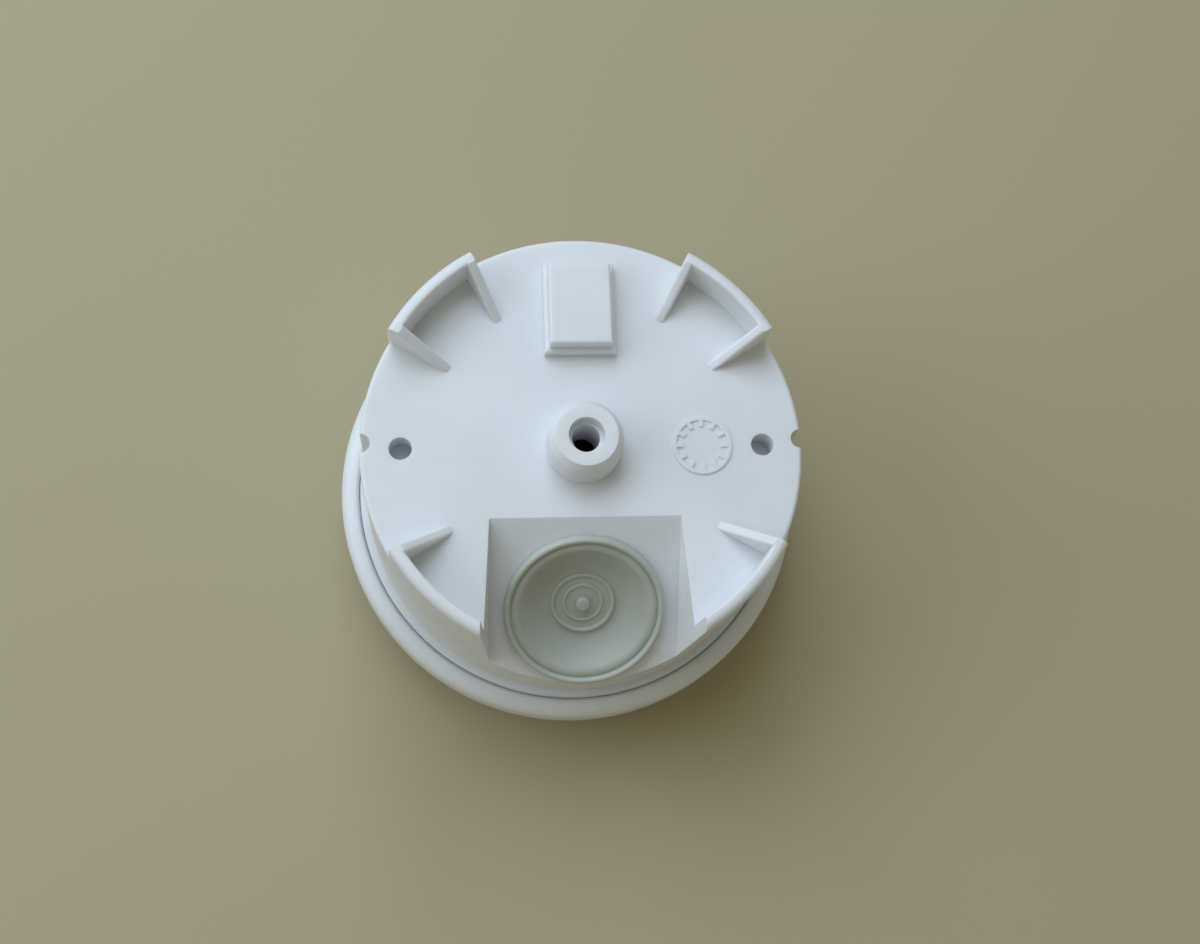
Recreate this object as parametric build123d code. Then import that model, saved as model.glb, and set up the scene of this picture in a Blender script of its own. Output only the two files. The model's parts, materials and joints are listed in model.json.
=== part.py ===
from build123d import *
import os
from math import cos, hypot, radians, sin, tan

# An outdoor temperature sensor for a wall, lying on the flat front of its cover.
# Millimetres. The origin is the centre of the cover's front face, +Z points to the
# wall side, and the cable comes in from -Y, which is down when the sensor is mounted.

# Base housing: a cup whose closed end faces the wall
base_radius = 36.7
base_height = 29.0
base_wall = 2.2
plate_thickness = 2.5
flange_step = 1.4
skirt_wall = 2.2
plate_edge_round = 0.7

# Front cover: a shallow dish round the open end of the cup
cover_depth = 16.0
rim_width = 2.9
cover_gap = 0.5
cover_floor = 2.4
cover_edge_round = 10.0
rim_edge_round = 2.2
lip_thickness = 1.3
lip_height = 5.6
lip_gap = 0.7

# Gasket between the cover's channel and the end of the base's skirt
gasket_seat = 5.0
gasket_thickness = 1.2
gasket_gap = 0.1

# Beads on the skirt that hold the cover
bead_count = 4
first_bead_angle = 45.0
bead_arc = 16.0
bead_height = 0.3
bead_length = 2.0
bead_level = 4.0
bead_root = 0.5

# Standoffs that keep the plate off the wall
standoff_height = 7.2
standoff_wall = 2.1
standoff_end_angle = 30.0
standoff_arc = 30.0
rib_thickness = 1.6
rib_reach = 11.1
standoff_round = 1.3
edge_round = 0.4
edge_bevel = 0.4

# Wall screw boss in the middle of the plate
boss_radius = 6.3
boss_taper = 0.15
boss_shoulder = 1.6
boss_top_radius = 5.1
boss_round = 1.0
boss_root = 0.5
screw_bore = 2.3
screw_mouth = 2.95
screw_mouth_depth = 2.2
screw_seat_radius = 5.2
screw_seat_height = 1.5

# Blind knock-out holes at the spacing of a flush wall box
knockout_spacing = 60.0
knockout_bore = 1.9
knockout_depth = 4.8
knockout_skin = 0.7
knockout_wall = 1.4

# Upright grooves in the two sides of the cup
groove_radius = 1.6
groove_depth = 1.8
groove_offset = 1.0
groove_wall = 1.6

# Stepped pad at the top of the plate, hollow from inside
pad_half_width = 5.2
pad_length = 14.2
pad_height = 4.2
pad_edge_gap = 5.9
plinth_margin = 0.8
plinth_height = 1.8
pad_wall = 1.8

# Plain moulding mark on the plate
mark_place = 19.8
mark_radius = 5.0
mark_line = 0.7
mark_relief = 0.3
mark_ticks = 12
mark_tick_length = 1.1

# Rubber grommet on the sloped floor of the cable recess
floor_slope = 35.0
recess_draft = 5.5
grommet_hole = 11.1
grommet_flange = 13.4
grommet_flange_height = 1.8
grommet_flange_round = 0.7
grommet_mouth = 0.6
grommet_shoulder_depth = 1.4
grommet_shoulder = 1.1
grommet_lip = 1.0
grommet_lip_height = 1.6
grommet_wall = 1.6
grommet_dish = 2.6
membrane_thickness = 1.0
membrane_ring = 5.7
membrane_ring_width = 0.7
membrane_ring_height = 0.7
membrane_ring_foot = 0.5
nipple_radius = 1.2
nipple_height = 1.3
nipple_round = 0.5
grommet_side_gap = 2.35
grommet_top_gap = 3.2
grommet_edge_gap = 0.3

# Sensor board on its posts
board_width = 34.0
board_length = 21.0
board_thickness = 1.6
board_bottom = 7.0
board_corner = 2.0
post_height = 6.0
post_radius = 3.0
post_inset = 3.5
board_screw_radius = 1.05
board_screw_head = 2.6
board_screw_head_height = 1.8
board_screw_crown = 1.8
board_screw_crown_height = 0.6
board_screw_length = 6.6
board_screw_point = 0.8
board_screw_tip = 0.3
cross_width = 0.7
cross_length = 2.8
cross_depth = 1.1
pilot_gap = 0.05
pilot_end = 0.6
locating_pin_radius = 1.0
locating_pin_rise = 0.8
board_hole_gap = 0.15
screw_hole_gap = 0.45

# Two-pole screw terminal with rising clamps
pole_pitch = 5.08
terminal_depth = 8.2
terminal_front_wall = 1.0
terminal_back_wall = 1.2
terminal_from_edge = 0.9
terminal_side = 0.45
clamp_width = 3.9
clamp_depth = 4.8
clamp_height = 5.2
clamp_side = 0.6
clamp_roof = 1.0
clamp_base = 0.9
clamp_travel = 2.0
clamp_gap = 0.1
clamp_board_gap = 0.9
clamp_bevel = 0.3
entry_sill = 0.8
terminal_bevel = 0.5
well_floor = 0.8
well_gap = 0.15
well_clearance = 0.5
terminal_screw_sink = 0.4
terminal_screw_head = 1.8
terminal_screw_head_height = 1.5
terminal_screw_shank = 1.25
thread_gap = 0.05
screw_slot_width = 0.5
screw_slot_depth = 0.8
contact_thickness = 0.8
contact_gap = 0.2
contact_leg_width = 1.0

# Temperature element on its leads
lead_spacing = 2.54
lead_radius = 0.25
lead_from_top = 5.0
lead_straight = 9.0
lead_join = 1.2
lead_bend = 2.0
bead_radius = 1.5
bead_nose_round = 1.1
bead_neck = 0.95
bead_neck_height = 0.8
bead_reach = 4.2
sleeve_wall = 0.25
sleeve_gap = 0.05
pin_hole_gap = 0.1
solder_height = 1.0
solder_spread = 0.7
wire_stub = 1.5

# How far a cutting body runs past the face that it opens
cut_margin = 1.0

# Levels and places worked out from the sizes above
rim_level = cover_depth
plate_level = rim_level + base_height
plate_inside = plate_level - plate_thickness
wall_level = plate_level + standoff_height
skirt_end = gasket_seat + gasket_thickness
skirt_radius = base_radius + flange_step
skirt_inner = skirt_radius - skirt_wall
cup_inner = base_radius - base_wall
cup_step = rim_level - base_wall / 2
cover_bore = skirt_radius + cover_gap
cover_radius = cover_bore + rim_width
lip_outer = skirt_inner - lip_gap
lip_inner = lip_outer - lip_thickness
lip_top = cover_floor + lip_height

recess_half_width = grommet_flange + grommet_side_gap
floor_length = 2 * grommet_flange + grommet_top_gap + grommet_edge_gap
recess_edge = floor_length * cos(radians(floor_slope)) - base_radius
grommet_run = (grommet_top_gap + grommet_flange) * cos(radians(floor_slope))
grommet_drop = (grommet_top_gap + grommet_flange) * sin(radians(floor_slope))
grommet_frame = Pos(0, recess_edge - grommet_run, plate_level - grommet_drop) * Rot(floor_slope, 0, 0)

pad_top = base_radius - pad_edge_gap
pad_bottom = pad_top - pad_length

board_back = plate_inside - post_height
board_front = board_back - board_thickness
board_top = board_bottom + board_length
board_middle = (board_bottom + board_top) / 2
post_x = board_width / 2 - post_inset
post_low_y = board_bottom + post_inset
post_high_y = board_top - post_inset

pocket_half_width = clamp_width / 2 + clamp_gap
terminal_half_width = pole_pitch / 2 + pocket_half_width + terminal_side
terminal_front = board_bottom + terminal_from_edge
terminal_back = terminal_front + terminal_depth
pocket_front = terminal_front + terminal_front_wall
pocket_back = terminal_back - terminal_back_wall
pole_y = (pocket_front + pocket_back) / 2
clamp_high = board_front - clamp_board_gap - clamp_travel
clamp_low = clamp_high - clamp_height
roof_level = clamp_low - clamp_gap
well_radius = terminal_screw_head + well_gap
well_depth = terminal_screw_head_height + well_clearance
terminal_end = roof_level - well_floor - well_depth
contact_top = clamp_high - clamp_base - clamp_gap
contact_low = contact_top - contact_thickness
leg_y = pocket_back + contact_thickness / 2
leg_hole_radius = hypot(contact_leg_width, contact_thickness) / 2 + pin_hole_gap
poles = {"left": -pole_pitch / 2, "right": pole_pitch / 2}

lead_y = board_top - lead_from_top
lead_turn = board_front - lead_straight
bead_level_z = lead_turn - lead_bend - bead_reach / 2

LOW = (Align.CENTER, Align.CENTER, Align.MIN)


def disc(radius, low, high, x=0, y=0):
    """A round solid about an upright axis, between two levels."""
    return Pos(x, y, low) * Cylinder(radius, high - low, align=LOW)


def block(half_width, front, back, low, high, x=0):
    """A rectangular solid centred on x."""
    solid = Box(2 * half_width, back - front, high - low, align=LOW)
    return Pos(x, (front + back) / 2, low) * solid


def turned(corners, start=0.0, arc=360.0):
    """A turned solid from its half section, given as (radius, level, rounding)."""
    points = [(radius, 0, level) for radius, level, rounding in corners]
    rounds = [rounding for radius, level, rounding in corners]
    section = make_face(FilletPolyline(*points, radius=rounds, close=True))
    return Rot(0, 0, start) * revolve(section, Axis.Z, revolution_arc=arc)


def floor_level(y, depth=0.0):
    """Height at y of the recess floor, or of a surface a depth behind it."""
    drop = (recess_edge - y) * tan(radians(floor_slope))
    return plate_level - drop - depth / cos(radians(floor_slope))


def recess_section(y, depth, top):
    """The recess across the sensor at y: its sides lean out by the draft."""
    low = floor_level(y, depth)
    lean = tan(radians(recess_draft))
    low_half = recess_half_width + (low - floor_level(y)) * lean + depth
    top_half = low_half + (top - low) * lean
    corners = [(-low_half, y, low), (low_half, y, low), (top_half, y, top), (-top_half, y, top)]
    return make_face(Polyline(*corners, close=True))


def recess_space(depth=0.0):
    """The space of the cable recess or, with a depth, that space and its walls."""
    near = recess_edge + depth
    far = -base_radius - flange_step - rim_width
    top = wall_level + standoff_height
    return loft([recess_section(near, depth, top), recess_section(far, depth, top)], ruled=True)


def standoff_rib(angle, side):
    """A wedge rib that runs in from the standoff's wall and ends at nothing."""
    tip = base_radius - rib_reach
    root = base_radius - standoff_wall
    end = base_radius - standoff_wall / 2
    foot = plate_level - plate_thickness / 2
    points = [(tip, 0, plate_level), (tip, 0, foot), (end, 0, foot), (end, 0, wall_level), (root, 0, wall_level)]
    rib = extrude(make_face(Polyline(*points, close=True)), rib_thickness, dir=(0, side, 0))
    slope_edges = rib.edges().filter_by(Plane.XZ)
    slope_edges = slope_edges.filter_by(lambda edge: plate_level < edge.center().Z < wall_level)
    rib = fillet(slope_edges.filter_by(lambda edge: edge.center().X < root), edge_round)
    return Rot(0, 0, angle) * rib


def base_shell():
    """The closed cup, turned in sectors that have a standoff's wall or the plate's plain edge."""
    cup = [(0, skirt_end, 0), (skirt_radius, skirt_end, 0)]
    cup += [(skirt_radius, rim_level - edge_bevel, 0), (skirt_radius - edge_bevel, rim_level, 0)]
    cup += [(base_radius, rim_level, 0)]
    plain = cup + [(base_radius, plate_level, plate_edge_round), (0, plate_level, 0)]
    wall_inner = base_radius - standoff_wall
    walled = cup + [(base_radius, wall_level, standoff_round), (wall_inner, wall_level, edge_round)]
    walled += [(wall_inner, plate_level, 0), (0, plate_level, 0)]
    first = standoff_end_angle
    second = first + standoff_arc
    sectors = [(plain, 2 * first), (walled, standoff_arc), (plain, 180 - 2 * second)]
    sectors += [(walled, standoff_arc), (plain, 2 * first), (walled, 180 - 2 * first)]
    shell = Part()
    start = -first
    for section, arc in sectors:
        shell += turned(section, start, arc)
        start += arc
    for angle, side in ((first, 1), (second, -1), (180 - second, 1), (180 - first, -1)):
        shell += standoff_rib(angle, side)
    return shell + standoff_rib(180 + first, 1) + standoff_rib(-first, -1)


def screw_boss():
    """The boss for the wall screw, with a soft shoulder and a seat for the head inside."""
    seat = plate_inside - screw_seat_height
    root = plate_level - boss_root
    section = [(0, seat, 0), (screw_seat_radius, seat, 0), (screw_seat_radius, root, 0), (boss_radius, root, 0)]
    section += [(boss_radius - boss_taper, wall_level - boss_shoulder, boss_round)]
    section += [(boss_top_radius, wall_level, 0), (0, wall_level, 0)]
    return turned(section)


def groove_bodies(radius):
    """Round bars along the two side grooves."""
    place = base_radius - groove_depth + groove_radius
    right = disc(radius, rim_level, plate_level, place, groove_offset)
    left = disc(radius, rim_level, plate_level, -place, groove_offset)
    return right + left


def pad():
    """The stepped pad on the plate."""
    margin = plinth_margin
    foot = plate_level - plate_thickness / 2
    plinth_top = plate_level + plinth_height
    plinth = block(pad_half_width + margin, pad_bottom - margin, pad_top + margin, foot, plinth_top)
    upper = block(pad_half_width, pad_bottom, pad_top, foot, plate_level + pad_height)
    plinth = fillet(plinth.edges().group_by(Axis.Z)[-1], edge_round)
    return plinth + fillet(upper.edges().group_by(Axis.Z)[-1], edge_round)


def knockouts(radius, low):
    """Round bars at the two knock-out holes, from a level up to the plate."""
    half = knockout_spacing / 2
    return disc(radius, low, plate_level, half) + disc(radius, low, plate_level, -half)


def board_posts():
    """Two screw posts and two posts with locating pins, under the board."""
    solid = Part()
    for x in (-post_x, post_x):
        solid += disc(post_radius, board_back, plate_inside, x, post_high_y)
        solid += disc(post_radius, board_back, plate_inside, x, post_low_y)
        solid += disc(locating_pin_radius, board_front - locating_pin_rise, board_back, x, post_low_y)
    return solid


def mark_ring():
    """A plain ring with ticks, a little proud of the plate."""
    foot = plate_level - mark_relief
    top = plate_level + mark_relief
    inner = mark_radius - mark_line
    ring = turned([(inner, foot, 0), (mark_radius, foot, 0), (mark_radius, top, 0), (inner, top, 0)])
    tick = block(mark_line / 2, inner - mark_tick_length, inner + mark_line / 2, foot, top)
    for count in range(mark_ticks):
        ring += Rot(0, 0, 360 / mark_ticks * count) * tick
    return Pos(mark_place, 0, 0) * ring


def snap_bead(angle):
    """One low bead on the skirt that holds the cover, with its middle at an angle."""
    foot = skirt_radius - bead_root
    low = skirt_end + bead_level - bead_length / 2
    high = low + bead_length
    section = [(foot, low, 0), (skirt_radius, low, 0), (skirt_radius + bead_height, (low + high) / 2, 0)]
    section += [(skirt_radius, high, 0), (foot, high, 0)]
    return turned(section, angle - bead_arc / 2, bead_arc)


def make_base_housing():
    """The cup that carries everything else, from its skirt to the standoffs."""
    cavity = disc(cup_inner, cup_step - cut_margin, plate_inside)
    cavity += disc(skirt_inner, skirt_end - cut_margin, cup_step)
    cavity -= recess_space(base_wall)
    cavity -= groove_bodies(groove_radius + groove_wall)
    cavity -= knockouts(knockout_bore + knockout_wall, plate_level - knockout_depth - knockout_skin)
    cavity -= board_posts()
    cavity += block(pad_half_width - pad_wall, pad_bottom + pad_wall, pad_top - pad_wall,
                    plate_inside - cut_margin, plate_level + pad_height - pad_wall)
    solid = base_shell() + pad() - cavity - recess_space() - groove_bodies(groove_radius)
    solid += screw_boss() + mark_ring()
    solid -= knockouts(knockout_bore, plate_level - knockout_depth)
    solid -= disc(screw_bore, plate_inside - screw_seat_height - cut_margin, wall_level + cut_margin)
    solid -= disc(screw_mouth, wall_level - screw_mouth_depth, wall_level + cut_margin)
    solid -= grommet_frame * disc(grommet_hole, -base_wall - cut_margin, cut_margin)
    pilot_top = board_front + board_screw_length + pilot_end
    for x in (-post_x, post_x):
        solid -= disc(board_screw_radius + pilot_gap, board_back - cut_margin, pilot_top, x, post_high_y)
    for count in range(bead_count):
        solid += snap_bead(first_bead_angle + 360 / bead_count * count)
    return solid


def make_front_cover():
    """A shallow dish with a big soft edge, a gasket channel and a lip inside the skirt."""
    section = [(0, 0, 0), (cover_radius, 0, cover_edge_round), (cover_radius, rim_level, rim_edge_round)]
    section += [(cover_bore + edge_bevel, rim_level, 0), (cover_bore, rim_level - edge_bevel, 0)]
    section += [(cover_bore, gasket_seat, 0), (lip_outer, gasket_seat, 0)]
    section += [(lip_outer, lip_top - edge_bevel, 0), (lip_outer - edge_bevel, lip_top, 0)]
    section += [(lip_inner + edge_bevel, lip_top, 0), (lip_inner, lip_top - edge_bevel, 0)]
    section += [(lip_inner, cover_floor + edge_bevel, 0), (lip_inner - edge_bevel, cover_floor, 0)]
    section += [(0, cover_floor, 0)]
    return turned(section)


def make_cover_gasket():
    """A flat ring that fills the cover's channel under the skirt."""
    inner = lip_outer + gasket_gap
    outer = cover_bore - gasket_gap
    return turned([(inner, gasket_seat, 0), (outer, gasket_seat, 0), (outer, skirt_end, 0), (inner, skirt_end, 0)])


def make_cable_grommet():
    """A rubber grommet with a dished membrane, to be cut through for the cable."""
    neck = grommet_hole
    lip = neck + grommet_lip
    height = grommet_flange_height
    shoulder = height - grommet_shoulder_depth
    inside = neck - grommet_wall
    dish = -grommet_dish
    under = dish - membrane_thickness
    back = -base_wall - grommet_lip_height
    ring_top = dish + membrane_ring_height
    ring_inner = membrane_ring - membrane_ring_width
    bowl_foot = membrane_ring + membrane_ring_foot
    section = [(0, dish + nipple_height, 0), (nipple_radius, dish + nipple_height, nipple_round)]
    section += [(nipple_radius, dish, 0), (ring_inner, dish, 0), (ring_inner, ring_top, 0)]
    section += [(membrane_ring, ring_top, 0), (bowl_foot, dish, 0), (neck - grommet_shoulder, shoulder, 0)]
    section += [(neck, shoulder, 0), (neck + grommet_mouth, height, 0)]
    section += [(grommet_flange, height, grommet_flange_round), (grommet_flange, 0, 0), (neck, 0, 0)]
    section += [(neck, -base_wall, 0), (lip, -base_wall, 0), (neck, back, 0), (inside, back, 0)]
    section += [(inside, shoulder - membrane_thickness, 0), (bowl_foot, under, 0), (0, under, 0)]
    return grommet_frame * turned(section)


def make_sensor_board():
    """The printed circuit board with its holes."""
    outline = Pos(0, board_middle, board_front) * RectangleRounded(board_width, board_length, board_corner)
    plate = extrude(outline, board_thickness)
    low = board_front - cut_margin
    high = board_back + cut_margin
    for x in (-post_x, post_x):
        plate -= disc(board_screw_radius + screw_hole_gap, low, high, x, post_high_y)
        plate -= disc(locating_pin_radius + board_hole_gap, low, high, x, post_low_y)
    for x in poles.values():
        plate -= disc(leg_hole_radius, low, high, x, leg_y)
    for x in (-lead_spacing / 2, lead_spacing / 2):
        plate -= disc(lead_radius + pin_hole_gap, low, high, x, lead_y)
    return plate


def make_board_screws():
    """Two pan-head screws that hold the board to its posts."""
    end = board_front - board_screw_head_height
    point = board_front + board_screw_length
    section = [(0, end, 0), (board_screw_crown, end, 0), (board_screw_head, end + board_screw_crown_height, 0)]
    section += [(board_screw_head, board_front, 0), (board_screw_radius, board_front, 0)]
    section += [(board_screw_radius, point - board_screw_point, 0), (board_screw_tip, point, 0), (0, point, 0)]
    screw = turned(section)
    cross = block(cross_width / 2, -cross_length / 2, cross_length / 2, end - cut_margin, end + cross_depth)
    screw -= cross + Rot(0, 0, 90) * cross
    return [Pos(x, post_high_y, 0) * screw for x in (-post_x, post_x)]


def make_terminal_housing():
    """The two-pole block with its screw wells, clamp pockets and wire entries."""
    solid = block(terminal_half_width, terminal_front, terminal_back, terminal_end, board_front)
    solid = chamfer(solid.edges().filter_by(Axis.X).group_by(Axis.Z)[0], terminal_bevel)
    entry_half = (clamp_width - clamp_side) / 2
    slot_half = contact_leg_width / 2 + pin_hole_gap
    slot_back = pocket_back + contact_thickness + pin_hole_gap
    above = board_front + cut_margin
    for x in poles.values():
        solid -= disc(well_radius, terminal_end - cut_margin, terminal_end + well_depth, x, pole_y)
        solid -= disc(terminal_screw_shank + clamp_gap, terminal_end, roof_level + cut_margin, x, pole_y)
        solid -= block(pocket_half_width, pocket_front, pocket_back, roof_level, above, x)
        solid -= block(entry_half, terminal_front - cut_margin, pocket_front + cut_margin,
                       contact_low, board_front - entry_sill, x)
        solid -= block(slot_half, pocket_back - cut_margin, slot_back, contact_low, above, x)
    return solid


def make_terminal_screw(x):
    """A slotted cheese-head screw that reaches through the clamp to the contact bar."""
    head_end = terminal_end + terminal_screw_sink
    shoulder = head_end + terminal_screw_head_height
    head = disc(terminal_screw_head, head_end, shoulder)
    head = chamfer(head.edges().group_by(Axis.Z)[0], clamp_bevel)
    screw = head + disc(terminal_screw_shank, shoulder, contact_low - clamp_gap)
    slot_half_length = terminal_screw_head + cut_margin
    screw -= block(screw_slot_width / 2, -slot_half_length, slot_half_length,
                   head_end - cut_margin, head_end + screw_slot_depth)
    return Pos(x, pole_y, 0) * screw


def make_wire_clamp(x):
    """The rising clamp: a square loop that pulls the wire up against the contact bar."""
    half = clamp_width / 2
    front = pole_y - clamp_depth / 2
    back = pole_y + clamp_depth / 2
    clamp = block(half, front, back, clamp_low, clamp_high)
    clamp = chamfer(clamp.edges().filter_by(Axis.Y), clamp_bevel)
    clamp -= block(half - clamp_side, front - cut_margin, back + cut_margin,
                   clamp_low + clamp_roof, clamp_high - clamp_base)
    clamp -= disc(terminal_screw_shank + thread_gap, clamp_low - cut_margin,
                  clamp_low + clamp_roof + cut_margin, 0, pole_y)
    return Pos(x, 0, 0) * clamp


def make_contact_bar(x):
    """The fixed bar in the terminal, with the leg that is soldered to the board."""
    half = clamp_width / 2 - clamp_side - contact_gap
    bar = block(half, pocket_front + contact_gap, pocket_back, contact_low, contact_top)
    leg = block(contact_leg_width / 2, pocket_back, pocket_back + contact_thickness,
                contact_low, board_back + wire_stub)
    return Pos(x, 0, 0) * (bar + leg)


def lead_path(side):
    """One lead, from behind the board to the bead."""
    wide = side * lead_spacing / 2
    close = side * lead_join / 2
    points = [(wide, lead_y, board_back + wire_stub), (wide, lead_y, lead_turn)]
    points += [(close, lead_y, lead_turn - lead_bend), (close, lead_y, lead_turn - lead_bend - bead_reach / 2)]
    return FilletPolyline(*points, radius=3 * lead_radius)


def make_thermistor_leads():
    """Two stiff wires that hold the bead out in front of the board."""
    leads = []
    for side in (-1, 1):
        path = lead_path(side)
        section = Plane(origin=path @ 0, z_dir=path % 0) * Circle(lead_radius)
        leads.append(sweep(section, path=path))
    return leads


def make_thermistor_bead():
    """The temperature element: a drop of resin round the joined leads."""
    low = bead_level_z - bead_reach / 2
    high = bead_level_z + bead_reach / 2
    section = [(0, low, 0), (bead_radius, low, bead_nose_round), (bead_radius, high - bead_neck_height, 0)]
    section += [(bead_neck, high, 0), (0, high, 0)]
    bead = Pos(0, lead_y, 0) * turned(section)
    for lead in make_thermistor_leads():
        bead -= lead
    return bead


def make_lead_sleeves():
    """Insulating tubes over the straight part of the leads."""
    low = lead_turn + 4 * lead_radius
    bore = lead_radius + sleeve_gap
    sleeves = []
    for x in (-lead_spacing / 2, lead_spacing / 2):
        tube = disc(bore + sleeve_wall, low, board_front, x, lead_y)
        sleeves.append(tube - disc(bore, low - cut_margin, board_front + cut_margin, x, lead_y))
    return sleeves


def make_solder_joints():
    """Four solder cones behind the board, round the contact legs and the leads."""
    joints = []
    for x in poles.values():
        cone = Cone(leg_hole_radius + solder_spread, leg_hole_radius, solder_height, align=LOW)
        joints.append(Pos(x, leg_y, board_back) * cone - make_contact_bar(x))
    lead_end = board_back + wire_stub
    for x in (-lead_spacing / 2, lead_spacing / 2):
        cone = Cone(lead_radius + solder_spread, lead_radius + pin_hole_gap, solder_height, align=LOW)
        joints.append(Pos(x, lead_y, board_back) * cone - disc(lead_radius, board_back, lead_end, x, lead_y))
    return joints


def make_nodes():
    """Every separate piece, by the name of its node."""
    nodes = {
        "front_cover": make_front_cover(),
        "cover_gasket": make_cover_gasket(),
        "base_housing": make_base_housing(),
        "cable_grommet": make_cable_grommet(),
        "sensor_board": make_sensor_board(),
        "board_screws": make_board_screws(),
        "terminal_housing": make_terminal_housing(),
        "thermistor_leads": make_thermistor_leads(),
        "thermistor_bead": make_thermistor_bead(),
        "lead_sleeves": make_lead_sleeves(),
        "solder_joints": make_solder_joints(),
    }
    for side, x in poles.items():
        nodes["terminal_screw_" + side] = make_terminal_screw(x)
        nodes["wire_clamp_" + side] = make_wire_clamp(x)
        nodes["contact_bar_" + side] = make_contact_bar(x)
    return nodes


os.makedirs("parts", exist_ok=True)
for name, shape in make_nodes().items():
    pieces = shape if isinstance(shape, list) else [shape]
    solids = [solid for piece in pieces for solid in piece.solids()]
    node = solids[0] if len(solids) == 1 else Compound(children=solids)
    export_step(node, os.path.join("parts", name + ".step"))
    print(name, len(solids), "solids", round(sum(solid.volume for solid in solids), 1), "mm3")
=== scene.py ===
# %% [markdown]
# An outdoor temperature sensor, seen from its wall side.
#
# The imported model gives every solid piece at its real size. This script gives the pieces
# their finish: soft moulded edges, the grain of the plastics, the metal and the rubber.
# It also places a camera, a floor and soft studio light, so that the finish can be judged.
#
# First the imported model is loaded. Everything is in metres, and the origin is the middle
# of the cover's flat front, on which the sensor lies.

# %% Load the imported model
import json
from math import cos, degrees, hypot, radians, sin

import bmesh
import bpy
from mathutils import Matrix, Vector


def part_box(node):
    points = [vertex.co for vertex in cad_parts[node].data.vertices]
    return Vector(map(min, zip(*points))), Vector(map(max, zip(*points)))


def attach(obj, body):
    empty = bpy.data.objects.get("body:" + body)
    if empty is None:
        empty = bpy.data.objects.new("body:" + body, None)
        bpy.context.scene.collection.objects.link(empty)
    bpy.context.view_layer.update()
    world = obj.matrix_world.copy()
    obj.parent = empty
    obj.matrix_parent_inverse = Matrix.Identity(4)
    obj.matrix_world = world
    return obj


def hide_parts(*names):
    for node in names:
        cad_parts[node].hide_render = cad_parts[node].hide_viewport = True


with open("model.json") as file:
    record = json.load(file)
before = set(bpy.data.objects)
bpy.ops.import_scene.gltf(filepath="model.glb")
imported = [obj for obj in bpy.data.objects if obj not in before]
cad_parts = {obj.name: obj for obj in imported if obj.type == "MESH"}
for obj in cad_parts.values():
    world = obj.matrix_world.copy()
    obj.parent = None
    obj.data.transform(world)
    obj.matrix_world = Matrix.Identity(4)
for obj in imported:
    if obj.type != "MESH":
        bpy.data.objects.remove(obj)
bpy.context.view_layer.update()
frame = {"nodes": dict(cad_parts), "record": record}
nodes = frame["nodes"]
millimetre = 0.001
body_of_node = {}
for body, members in frame["record"]["behaviour"]["bodies"].items():
    for member in members:
        body_of_node[member] = body

# %% [markdown]
# The camera
#
# The photograph was taken from about 25 cm, almost straight above the sensor and turned
# a little. A camera is placed by three things: the point that it looks at, the direction
# from that point to the lens, and its roll. The lens follows from how much the plate's
# far side shrinks. The values were solved so that the plate, the standoffs' tops and the
# rim fall where the photograph has them. A long lens from further away would flatten the
# sensor, and a short one would swell the standoffs.

# %% Place the camera
aim = Vector((2.583, -4.385, 45.0)) * millimetre
lens_height_angle = radians(74.44)
lens_turn = radians(-22.094)
camera_roll = radians(20.628)
camera_distance = 252.05 * millimetre
lens_length = 45.975
sensor_width = 36.0
nearest_seen = 10.0 * millimetre


def camera_axes():
    """The camera's right, up and backward directions."""
    level = cos(lens_height_angle)
    back = Vector((sin(lens_turn) * level, -cos(lens_turn) * level, sin(lens_height_angle)))
    side = (-back).cross(Vector((0, 0, 1))).normalized()
    top = side.cross(-back)
    right = cos(camera_roll) * side + sin(camera_roll) * top
    up = cos(camera_roll) * top - sin(camera_roll) * side
    return right, up, back


def place_camera():
    """A camera that sees the sensor as the photograph does."""
    right, up, back = camera_axes()
    lens = bpy.data.cameras.new("photo_camera")
    lens.sensor_fit = "HORIZONTAL"
    lens.sensor_width = sensor_width
    lens.lens = lens_length
    lens.clip_start = nearest_seen
    camera = bpy.data.objects.new("photo_camera", lens)
    turn = Matrix((right, up, back)).transposed().to_4x4()
    camera.matrix_world = Matrix.Translation(aim + back * camera_distance) @ turn
    bpy.context.scene.collection.objects.link(camera)
    bpy.context.scene.camera = camera
    return camera


camera = place_camera()
print("camera at", [round(value, 4) for value in camera.matrix_world.translation])

# %% [markdown]
# Light
#
# The photograph's light is soft daylight from above and from the left, and what reaches
# the shaded sides is warmer, because it comes back from the table. In a studio a cool key
# lamp near the object does the first, with a broad lamp at its left. A weak warm lamp and
# a warm sky do the second. A sun lamp would be simpler, but its shadows are too sharp, and
# one lamp alone leaves the rim's left side grey.

# %% Place the lamps
daylight = (0.70, 0.825, 1.0)
soft_daylight = (0.75, 0.87, 1.0)
table_light = (1.0, 0.95, 0.80)


def place_lamp(name, azimuth, height, distance, size, power, colour):
    """A square area lamp that looks at the sensor from a compass direction and a height."""
    flat = cos(radians(height))
    away = Vector((cos(radians(azimuth)) * flat, sin(radians(azimuth)) * flat, sin(radians(height))))
    data = bpy.data.lights.new(name, "AREA")
    data.shape = "SQUARE"
    data.size = size
    data.energy = power
    data.color = colour
    lamp = bpy.data.objects.new(name, data)
    turn = away.to_track_quat("Z", "Y").to_matrix().to_4x4()
    lamp.matrix_world = Matrix.Translation(aim + away * distance) @ turn
    bpy.context.scene.collection.objects.link(lamp)


place_lamp("key_lamp", azimuth=110, height=52, distance=0.8, size=0.6, power=4.3, colour=daylight)
place_lamp("side_lamp", azimuth=172, height=32, distance=0.8, size=0.6, power=2.4, colour=soft_daylight)
place_lamp("fill_lamp", azimuth=-125, height=30, distance=0.9, size=0.8, power=0.3, colour=table_light)
print("lamps", [item.name for item in bpy.data.lights])

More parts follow.
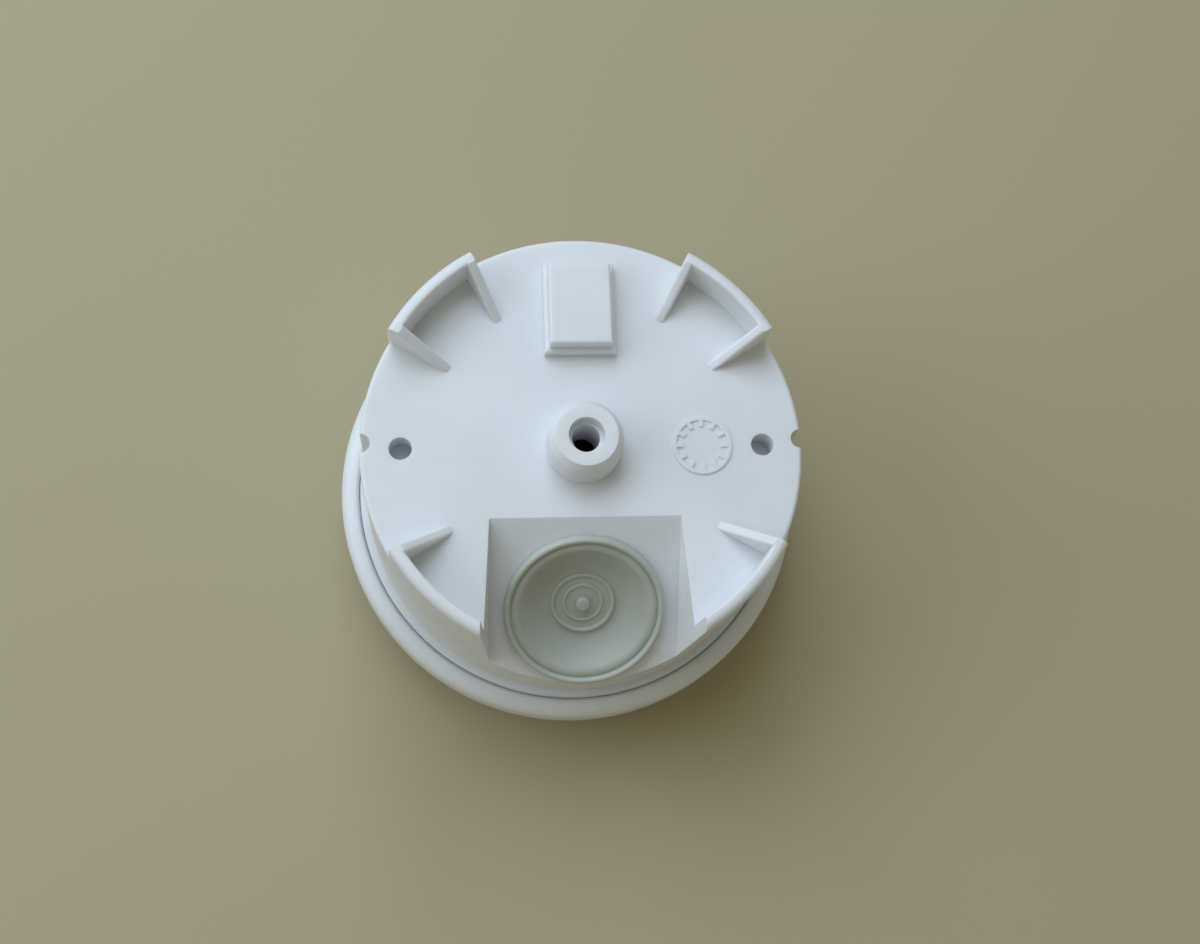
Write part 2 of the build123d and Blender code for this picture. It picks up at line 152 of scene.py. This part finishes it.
# %% Give the world a weak warm light
sky_colour = (1.0, 0.96, 0.76, 1.0)
sky_strength = 0.26

world = bpy.data.worlds.new("studio")
world.use_nodes = True
sky = world.node_tree.nodes["Background"]
sky.inputs["Color"].default_value = sky_colour
sky.inputs["Strength"].default_value = sky_strength
bpy.context.scene.world = world
bpy.context.scene.view_settings.view_transform = "Standard"
print("sky strength", sky_strength)

# %% [markdown]
# The floor
#
# The floor is one flat square with a plain pale colour. It isn't part of the object.
# It lies a hair below the cover's flat front, because two faces in one plane
# flicker where a view sees them both. It is large, so that its far edge lies near the
# horizon in a view from the side.

# %% Lay the floor
floor_half = 6.0
floor_drop = 0.03 * millimetre
floor_colour = (0.436, 0.382, 0.241, 1.0)
floor_roughness = 0.8

floor_mesh = bpy.data.meshes.new("floor")
shape = bmesh.new()
bmesh.ops.create_grid(shape, x_segments=1, y_segments=1, size=floor_half)
bmesh.ops.translate(shape, vec=(0, 0, -floor_drop), verts=shape.verts)
shape.to_mesh(floor_mesh)
shape.free()
floor = bpy.data.objects.new("floor", floor_mesh)
bpy.context.scene.collection.objects.link(floor)
floor_paint = bpy.data.materials.new("pale_table")
floor_paint.use_nodes = True
floor_shader = floor_paint.node_tree.nodes["Principled BSDF"]
floor_shader.inputs["Base Color"].default_value = floor_colour
floor_shader.inputs["Roughness"].default_value = floor_roughness
floor_mesh.materials.append(floor_paint)
print("floor", [round(value, 2) for value in floor.dimensions])

# %% [markdown]
# Shader groups
#
# Every moulded piece shows the same three things close up: a fine grain from the mould, a
# tone that drifts a little, and faint marks from handling. Each is a node group with
# named inputs, built once here and placed in each material with its own values. An image
# texture would need a photograph of the surface, and a procedural pattern has any detail.

# %% Helpers that make a node group and its nodes
def node_group(name, inputs, outputs):
    """A shader node group with its sockets, its input node and its output node."""
    group = bpy.data.node_groups.new(name, "ShaderNodeTree")
    for label, kind, value in inputs:
        socket = group.interface.new_socket(label, in_out="INPUT", socket_type=kind)
        socket.default_value = value
    for label, kind in outputs:
        group.interface.new_socket(label, in_out="OUTPUT", socket_type=kind)
    return group, group.nodes.new("NodeGroupInput"), group.nodes.new("NodeGroupOutput")


def noise(tree, coordinates, scale, detail=3.0, roughness=0.6):
    """A noise texture on given coordinates. Its scale is a number or a socket."""
    node = tree.nodes.new("ShaderNodeTexNoise")
    node.inputs["Detail"].default_value = detail
    node.inputs["Roughness"].default_value = roughness
    tree.links.new(coordinates, node.inputs["Vector"])
    if isinstance(scale, float):
        node.inputs["Scale"].default_value = scale
    else:
        tree.links.new(scale, node.inputs["Scale"])
    return node.outputs["Fac"]


def spread(tree, value, low, high, new_low=0.0, new_high=1.0):
    """Maps the stretch of a value between low and high to a new stretch."""
    node = tree.nodes.new("ShaderNodeMapRange")
    ends = {"From Min": low, "From Max": high, "To Min": new_low, "To Max": new_high}
    for label, source in ends.items():
        if isinstance(source, (int, float)):
            node.inputs[label].default_value = source
        else:
            tree.links.new(source, node.inputs[label])
    tree.links.new(value, node.inputs["Value"])
    return node.outputs["Result"]


def blend_colours(tree, factor, first, second):
    """A mix of two colour sockets by a factor."""
    node = tree.nodes.new("ShaderNodeMix")
    node.data_type = "RGBA"
    tree.links.new(factor, node.inputs["Factor"])
    tree.links.new(first, node.inputs["A"])
    tree.links.new(second, node.inputs["B"])
    return node.outputs["Result"]


print("node groups so far", len(bpy.data.node_groups))

# %% The group for a moulded surface
mottle_band = (0.35, 0.65)
mottle_detail = 5.0
grain_band = (0.3, 0.7)
grain_detail = 4.0
grain_roughness = 0.65


def moulded_surface():
    """Colour, roughness and normal of a plastic or rubber moulding."""
    sockets = [("Colour", "NodeSocketColor", (0.8, 0.8, 0.8, 1.0)),
               ("Second Colour", "NodeSocketColor", (0.7, 0.7, 0.7, 1.0)),
               ("Mottle Scale", "NodeSocketFloat", 90.0),
               ("Roughness Low", "NodeSocketFloat", 0.4),
               ("Roughness High", "NodeSocketFloat", 0.5),
               ("Grain Scale", "NodeSocketFloat", 2600.0),
               ("Grain Depth", "NodeSocketFloat", 0.00001)]
    results = [("Colour", "NodeSocketColor"), ("Roughness", "NodeSocketFloat"),
               ("Normal", "NodeSocketVector")]
    group, given, wanted = node_group("moulded_surface", sockets, results)
    place = group.nodes.new("ShaderNodeTexCoord").outputs["Object"]
    cloud = noise(group, place, given.outputs["Mottle Scale"], mottle_detail)
    mottle = spread(group, cloud, *mottle_band)
    colour = blend_colours(group, mottle, given.outputs["Colour"], given.outputs["Second Colour"])
    grain = noise(group, place, given.outputs["Grain Scale"], grain_detail, grain_roughness)
    gloss_ends = (given.outputs["Roughness Low"], given.outputs["Roughness High"])
    roughness = spread(group, grain, *grain_band, *gloss_ends)
    bump = group.nodes.new("ShaderNodeBump")
    group.links.new(grain, bump.inputs["Height"])
    group.links.new(given.outputs["Grain Depth"], bump.inputs["Distance"])
    group.links.new(colour, wanted.inputs["Colour"])
    group.links.new(roughness, wanted.inputs["Roughness"])
    group.links.new(bump.outputs["Normal"], wanted.inputs["Normal"])
    return group


moulded_group = moulded_surface()
print("group", moulded_group.name, "with", len(moulded_group.nodes), "nodes")

# %% The group for fine scratches
patch_scale = 60.0
patch_band = (0.45, 0.7)
line_turns = (35, -50)
line_stretch = (0.06, 1.0, 1.0)
line_band = (0.66, 0.74)
scratch_detail = 2.0


def fine_scratches():
    """A mask of thin lines in two directions, broken up by a coarser noise."""
    sockets = [("Scale", "NodeSocketFloat", 220.0), ("Amount", "NodeSocketFloat", 0.5)]
    group, given, wanted = node_group("fine_scratches", sockets, [("Mask", "NodeSocketFloat")])
    place = group.nodes.new("ShaderNodeTexCoord").outputs["Object"]
    patches = spread(group, noise(group, place, patch_scale, scratch_detail), *patch_band)
    lines = []
    for turn in line_turns:
        mapping = group.nodes.new("ShaderNodeMapping")
        mapping.inputs["Rotation"].default_value = (0.0, 0.0, radians(turn))
        mapping.inputs["Scale"].default_value = line_stretch
        group.links.new(place, mapping.inputs["Vector"])
        streaks = noise(group, mapping.outputs["Vector"], given.outputs["Scale"], scratch_detail)
        lines.append(spread(group, streaks, *line_band))
    total = group.nodes.new("ShaderNodeMath")
    total.operation = "MAXIMUM"
    group.links.new(lines[0], total.inputs[0])
    group.links.new(lines[1], total.inputs[1])
    product = total.outputs["Value"]
    for factor in (patches, given.outputs["Amount"]):
        step = group.nodes.new("ShaderNodeMath")
        step.operation = "MULTIPLY"
        group.links.new(product, step.inputs[0])
        group.links.new(factor, step.inputs[1])
        product = step.outputs["Value"]
    group.links.new(product, wanted.inputs["Mask"])
    return group


scratch_group = fine_scratches()
print("group", scratch_group.name, "with", len(scratch_group.nodes), "nodes")

# %% [markdown]
# Plastics and rubber
#
# The housing and the cover are one white plastic with a satin finish. Its colour is a
# little cool, and it never reaches full white, so that light can still shape it. A little
# light travels inside the plastic and softens its shadows, which is the subsurface part.
# Its reach is given in metres for red, green and blue, so its scale stays 1. The board, the
# terminal and the sleeves are mouldings or lacquer too, so they all use the same group.

# %% A helper that makes a moulded material
scatter_reach = (0.0022, 0.0020, 0.0017)
scatter_scale = 1.0


def moulded_material(name, colour, second, mottle=90.0, gloss=(0.4, 0.5), grain=2600.0, depth=0.00001,
                     marks=0.0, glow=0.0):
    """A material of one moulding: its two tones, roughness range, grain, marks and inner glow."""
    material = bpy.data.materials.new(name)
    material.use_nodes = True
    tree = material.node_tree
    shader = tree.nodes["Principled BSDF"]
    surface = tree.nodes.new("ShaderNodeGroup")
    surface.node_tree = moulded_group
    values = {"Colour": (*colour, 1.0), "Second Colour": (*second, 1.0), "Mottle Scale": mottle,
              "Roughness Low": gloss[0], "Roughness High": gloss[1],
              "Grain Scale": grain, "Grain Depth": depth}
    for label, value in values.items():
        surface.inputs[label].default_value = value
    roughness = surface.outputs["Roughness"]
    if marks:
        scratches = tree.nodes.new("ShaderNodeGroup")
        scratches.node_tree = scratch_group
        scratches.inputs["Amount"].default_value = marks
        total = tree.nodes.new("ShaderNodeMath")
        total.operation = "ADD"
        total.use_clamp = True
        tree.links.new(roughness, total.inputs[0])
        tree.links.new(scratches.outputs["Mask"], total.inputs[1])
        roughness = total.outputs["Value"]
    tree.links.new(surface.outputs["Colour"], shader.inputs["Base Color"])
    tree.links.new(roughness, shader.inputs["Roughness"])
    tree.links.new(surface.outputs["Normal"], shader.inputs["Normal"])
    shader.inputs["Subsurface Weight"].default_value = glow
    shader.inputs["Subsurface Radius"].default_value = scatter_reach
    shader.inputs["Subsurface Scale"].default_value = scatter_scale
    return material


print("light reaches", max(scatter_reach) / millimetre, "mm into a glowing plastic")

# %% The white plastic of the housing and the cover
white = (0.775, 0.795, 0.82)
shaded_white = (0.745, 0.765, 0.79)

materials = {}
materials["housing_plastic"] = moulded_material(
    "satin_white_housing", white, shaded_white, gloss=(0.38, 0.50), depth=0.00002, marks=0.15, glow=0.5)
materials["cover_plastic"] = moulded_material(
    "satin_white_cover", white, shaded_white, gloss=(0.36, 0.48), depth=0.00002, marks=0.3, glow=0.5)
print("white plastics", len(materials))

# %% [markdown]
# The grommet is a soft grey rubber: duller than the plastic, and darker. The gasket is a
# black one. Rubber gets its look from a rough surface and a coarse tone, not from colour.

# %% The two rubbers
rubber_grey = (0.49, 0.515, 0.465)
rubber_dark_grey = (0.45, 0.475, 0.425)
rubber_black = (0.035, 0.035, 0.038)
rubber_worn_black = (0.05, 0.05, 0.052)

materials["grommet_rubber"] = moulded_material(
    "grey_grommet_rubber", rubber_grey, rubber_dark_grey, mottle=160.0, gloss=(0.48, 0.62),
    grain=1900.0, depth=0.000012, glow=0.3)
materials["gasket_rubber"] = moulded_material(
    "dark_gasket_rubber", rubber_black, rubber_worn_black, mottle=300.0, gloss=(0.6, 0.8),
    grain=3500.0, depth=0.00002)
print("with the rubbers", len(materials))

# %% The board, the terminal, the resin drop and the sleeves
lacquer_green = (0.015, 0.13, 0.045)
lacquer_light_green = (0.02, 0.16, 0.055)
terminal_grey = (0.10, 0.115, 0.125)
terminal_light_grey = (0.12, 0.135, 0.145)
resin_black = (0.012, 0.014, 0.018)
resin_blue_black = (0.02, 0.022, 0.028)
sleeve_straw = (0.58, 0.50, 0.33)
sleeve_brown = (0.52, 0.44, 0.28)

materials["board_laminate"] = moulded_material(
    "green_board_lacquer", lacquer_green, lacquer_light_green, mottle=400.0, gloss=(0.22, 0.34),
    grain=4200.0, depth=0.000006)
materials["terminal_plastic"] = moulded_material(
    "grey_terminal_plastic", terminal_grey, terminal_light_grey, mottle=250.0, gloss=(0.42, 0.55),
    grain=4500.0)
materials["bead_resin"] = moulded_material(
    "dark_bead_resin", resin_black, resin_blue_black, mottle=500.0, gloss=(0.12, 0.22),
    grain=1500.0, depth=0.00003)
materials["sleeve_plastic"] = moulded_material(
    "pale_sleeve", sleeve_straw, sleeve_brown, mottle=400.0, gloss=(0.35, 0.5), grain=5000.0)
print("moulded materials", sorted(materials))

# %% [markdown]
# Metals
#
# The screws and the clamps are zinc plated steel, the contact bars are tinned brass, the
# leads are tinned wire and the joints are solder. A metal's colour comes from its
# reflection, so Metallic is 1 and the roughness carries the finish. Fine scratches roughen
# the surface here and there.

# %% Make the metals
zinc_grey = (0.60, 0.61, 0.62)
zinc_dark_grey = (0.52, 0.53, 0.55)
brass_pale = (0.66, 0.60, 0.44)
brass_dull = (0.58, 0.53, 0.40)
solder_bright = (0.62, 0.63, 0.65)
solder_dull = (0.50, 0.51, 0.54)
wire_bright = (0.66, 0.62, 0.56)
wire_dull = (0.58, 0.55, 0.50)


def metal_material(name, colour, second, gloss, mottle=600.0, grain=3000.0, depth=0.000008, marks=0.25):
    """A metal: the moulded group gives its grain, and the scratches its worn gloss."""
    material = moulded_material(name, colour, second, mottle, gloss, grain, depth, marks)
    material.node_tree.nodes["Principled BSDF"].inputs["Metallic"].default_value = 1.0
    return material


materials["plated_steel"] = metal_material(
    "zinc_plated_steel", zinc_grey, zinc_dark_grey, gloss=(0.24, 0.36))
materials["contact_metal"] = metal_material(
    "tinned_brass", brass_pale, brass_dull, gloss=(0.26, 0.38))
materials["solder"] = metal_material(
    "bright_solder", solder_bright, solder_dull, gloss=(0.14, 0.3), grain=1200.0)
materials["lead_wire"] = metal_material(
    "tinned_wire", wire_bright, wire_dull, gloss=(0.2, 0.32))
print("materials", len(materials))

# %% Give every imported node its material
slot_of_node = {part["node"]: part["material_slot"] for part in frame["record"]["subparts"]}
for node, slot in slot_of_node.items():
    nodes[node].data.materials.clear()
    nodes[node].data.materials.append(materials[slot])
print("nodes with a material", len(slot_of_node))

# %% [markdown]
# Soft edges
#
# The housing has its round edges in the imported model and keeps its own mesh. The gasket,
# the resin drop, the leads, their sleeves and the solder keep theirs too. The small
# punched, turned and cut pieces inside have sharp edges, and it is the thin bright line
# along an edge that makes metal and plastic look real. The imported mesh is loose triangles,
# so a copy is merged and its flat stretches are dissolved first. Then every edge that turns
# by more than a set angle gets a small bevel. A Bevel modifier would do the same, but it
# can't leave out the edges where a bevel has no room.

# %% Copy a node as one closed shape
merge_distance = 0.002 * millimetre
flat_angle = radians(0.6)


def merged_copy(node):
    """The node's own shape as one closed bmesh, with its flat stretches dissolved."""
    shape = bmesh.new()
    shape.from_mesh(nodes[node].data)
    bmesh.ops.remove_doubles(shape, verts=shape.verts, dist=merge_distance)
    bmesh.ops.dissolve_limit(shape, angle_limit=flat_angle, verts=shape.verts, edges=shape.edges)
    return shape


board_copy = merged_copy("sensor_board")
print("board", len(nodes["sensor_board"].data.polygons), "triangles, merged", len(board_copy.faces), "faces")
board_copy.free()

# %% Round the edges that have room
sharp_angle = radians(33)
least_face = 2.2
least_end = 1.6
side_turn = 0.8


def face_reach(face, start, along):
    """How far a face reaches sideways from the line of one of its edges."""
    offsets = [vert.co - start for vert in face.verts]
    return max((offset - along * offset.dot(along)).length for offset in offsets)


def has_room(edge, width):
    """Whether both faces of an edge, and the edges that leave its ends, are wider than the bevel."""
    start, end = edge.verts
    along = (end.co - start.co).normalized()
    for face in edge.link_faces:
        if face_reach(face, start.co, along) < least_face * width:
            return False
    for vert in edge.verts:
        for other in vert.link_edges:
            away = (other.other_vert(vert).co - vert.co).normalized()
            leaves = other is not edge and abs(away.dot(along)) < side_turn
            if leaves and other.calc_length() < least_end * width:
                return False
    return True


def round_edges(shape, width, segments=2):
    """Bevels the sharp edges that have room for it and counts them."""
    sharp = [edge for edge in shape.edges if edge.is_manifold and edge.calc_face_angle(0.0) > sharp_angle]
    roomy = [edge for edge in sharp if has_room(edge, width)]
    bmesh.ops.bevel(shape, geom=roomy, offset=width, offset_type="OFFSET", segments=segments,
                    profile=0.5, affect="EDGES", clamp_overlap=False, material=-1)
    return f"{len(roomy)} of {len(sharp)}"


print("an edge is sharp from", round(degrees(sharp_angle)), "degrees")

# %% Finish the small pieces
crease_angle = radians(48)
edge_widths = {"sensor_board": 0.08, "board_screws": 0.08, "terminal_housing": 0.12,
               "terminal_screw_left": 0.06, "terminal_screw_right": 0.06,
               "wire_clamp_left": 0.08, "wire_clamp_right": 0.08,
               "contact_bar_left": 0.06, "contact_bar_right": 0.06}


def finished_piece(shape, name, node):
    """The bmesh as a smooth object that stands for a node, on its body and with the material of its slot."""
    mesh = bpy.data.meshes.new(name)
    shape.to_mesh(mesh)
    shape.free()
    for face in mesh.polygons:
        face.use_smooth = True
    mesh.set_sharp_from_angle(angle=crease_angle)
    mesh.materials.append(materials[slot_of_node[node]])
    piece = bpy.data.objects.new(name, mesh)
    bpy.context.scene.collection.objects.link(piece)
    weighted = piece.modifiers.new("even_shading", "WEIGHTED_NORMAL")
    weighted.keep_sharp = True
    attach(piece, body_of_node[node])
    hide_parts(node)
    return piece


for node, width in edge_widths.items():
    node_shape = merged_copy(node)
    count = round_edges(node_shape, width * millimetre)
    finished_piece(node_shape, "finished_" + node, node)
    print(node, "edges rounded", count)

# %% [markdown]
# The cable grommet
#
# The grommet is soft rubber, moulded as a body of revolution. Its flange ends in a rolled
# bead with a fine groove and a shoulder inside it, its bowl sinks in one smooth curve, and
# fine ribs surround the nipple that the fitter cuts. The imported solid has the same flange,
# bowl and neck in a simpler form. Half of its section is drawn as a chain of edges, rounded
# where the rubber is round, and spun about the grommet's own axis. The spun shape is then
# tilted into the sloped floor of the cable recess. A lathe of this kind gives even rings,
# which subdivision of a rougher mesh would only come near to.
#
# The section's sizes are in millimetres, as a radius and as a height above the floor of the
# recess. It is drawn from the nipple's top outwards, round the flange, and back under it.

# %% Round shapes for the grommet's section
def arc(centre_radius, centre_height, reach, start, end, steps):
    """Points of an arc in the section, as radius and height, from one angle to another."""
    angles = [radians(start + (end - start) * step / steps) for step in range(steps + 1)]
    return [(centre_radius + reach * cos(angle), centre_height + reach * sin(angle)) for angle in angles]


def rib(middle, width, height, base, steps=6):
    """A low rounded rib that stands on a base, from its inner side to its outer side."""
    angles = [radians(180 - 180 * step / steps) for step in range(steps + 1)]
    return [(middle + width / 2 * cos(angle), base + height * sin(angle)) for angle in angles]


def bowl_wall(foot, foot_height, top, top_height, curve, steps=14):
    """The smooth side of the bowl between its foot and its top, steeper towards the top."""
    shares = [step / steps for step in range(1, steps)]
    rise = top_height - foot_height
    return [(foot + (top - foot) * share, foot_height + rise * share ** curve) for share in shares]


print("a quarter round in 4 steps has", len(arc(0.0, 0.0, 1.0, 90, 0, 4)), "points")

# %% The nipple, the ribs and the bowl
bowl_depth = 2.6
bowl_foot = 6.2
bowl_top = 11.0
bowl_curve = 1.6
nipple_radius = 1.2
nipple_height = 1.25
nipple_round = 0.45
nipple_foot_width = 0.25
nipple_foot_height = 0.05
inner_rib = (3.2, 0.7, 0.3)
outer_rib = (5.1, 0.8, 0.45)
shoulder_level = 0.95

bowl_floor = -bowl_depth
nipple_shoulder = bowl_floor + nipple_height - nipple_round
section = [(0.0, bowl_floor + nipple_height)]
section += arc(nipple_radius - nipple_round, nipple_shoulder, nipple_round, 90, 0, 4)
section += [(nipple_radius, bowl_floor + nipple_foot_height)]
section += [(nipple_radius + nipple_foot_width, bowl_floor)]
section += rib(*inner_rib, bowl_floor) + rib(*outer_rib, bowl_floor)
section += [(bowl_foot, bowl_floor)]
section += bowl_wall(bowl_foot, bowl_floor, bowl_top, shoulder_level, bowl_curve)
print("section points up to the bowl's top", len(section))

# %% The shoulder, the groove and the bead of the flange
neck_radius = 11.1
flange_radius = 13.4
shoulder_end = 11.75
shoulder_crown = 1.0
bead_radius = 0.5
bead_level = 1.1
groove_level = 0.82
groove_width = 0.2
groove_slope = 0.2

groove_edge = flange_radius - 2 * bead_radius
section += [(neck_radius, shoulder_crown), (shoulder_end, shoulder_crown)]
section += [(groove_edge - groove_width - groove_slope, shoulder_level)]
section += [(groove_edge - groove_width, groove_level), (groove_edge, groove_level)]
section += arc(flange_radius - bead_radius, bead_level, bead_radius, 180, 0, 10)
print("section points up to the flange's rim", len(section))

# %% The neck in the housing's wall, its barb and the underside
neck_inside = 9.5
housing_wall = 2.2
barb_width = 1.0
barb_height = 1.6
underside_level = 1.7
skin = 1.0

barb_foot = -housing_wall - barb_height
section += [(flange_radius, 0.0), (neck_radius, 0.0), (neck_radius, -housing_wall)]
section += [(neck_radius + barb_width, -housing_wall), (neck_radius, barb_foot)]
section += [(neck_inside, barb_foot), (neck_inside, -underside_level)]
section += [(bowl_foot, bowl_floor - skin), (0.0, bowl_floor - skin)]
print("section points", len(section))

# %% Spin the section and tilt it into the recess
floor_slope = radians(35)
recess_edge = Vector((0, -11.88, 45.0))
grommet_reach = 16.6
spin_steps = 120

grommet_shape = bmesh.new()
chain = [grommet_shape.verts.new((radius * millimetre, 0, height * millimetre)) for radius, height in section]
rims = [grommet_shape.edges.new(pair) for pair in zip(chain, chain[1:])]
bmesh.ops.spin(grommet_shape, geom=chain + rims, cent=(0, 0, 0), axis=(0, 0, 1), angle=radians(360),
               steps=spin_steps, use_merge=True)
bmesh.ops.remove_doubles(grommet_shape, verts=grommet_shape.verts, dist=merge_distance)
bmesh.ops.recalc_face_normals(grommet_shape, faces=grommet_shape.faces)
down_slope = Vector((0, -cos(floor_slope), -sin(floor_slope)))
grommet_middle = (recess_edge + down_slope * grommet_reach) * millimetre
grommet_place = Matrix.Translation(grommet_middle) @ Matrix.Rotation(floor_slope, 4, "X")
bmesh.ops.transform(grommet_shape, matrix=grommet_place, verts=grommet_shape.verts)
open_edges = sum(not edge.is_manifold for edge in grommet_shape.edges)
finished_piece(grommet_shape, "rubber_cable_grommet", "cable_grommet")
print("grommet at", [round(value, 5) for value in grommet_middle], "open edges", open_edges)

# %% [markdown]
# The cover's mouth
#
# In the photograph the seam between the housing and the cover is a thin grey line, not a
# black gap. A moulded cover closes on the housing with a small lip at its mouth. The copy
# of the cover gets this lip: a loop is cut just below the mouth, and the ring of points at
# the mouth's inner edge moves inwards. The rest of the bore keeps its clearance.

# %% Draw in the cover's mouth
cover_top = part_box("front_cover")[1].z
lip_height = 1.0 * millimetre
lip_reach = 0.4 * millimetre
bore_radius = 38.6 * millimetre
bore_margin = 0.05 * millimetre
mouth_bevel = 0.4 * millimetre

cover_shape = merged_copy("front_cover")
cut_level = cover_top - mouth_bevel - lip_height
everything = cover_shape.verts[:] + cover_shape.edges[:] + cover_shape.faces[:]
bmesh.ops.bisect_plane(cover_shape, geom=everything, plane_co=(0, 0, cut_level), plane_no=(0, 0, 1))
moved = 0
for vert in cover_shape.verts:
    radius = hypot(vert.co.x, vert.co.y)
    if vert.co.z > cut_level + bore_margin and abs(radius - bore_radius) < bore_margin:
        vert.co.xy *= (radius - lip_reach) / radius
        moved += 1
finished_piece(cover_shape, "white_front_cover", "front_cover")
print("mouth points drawn in", moved)
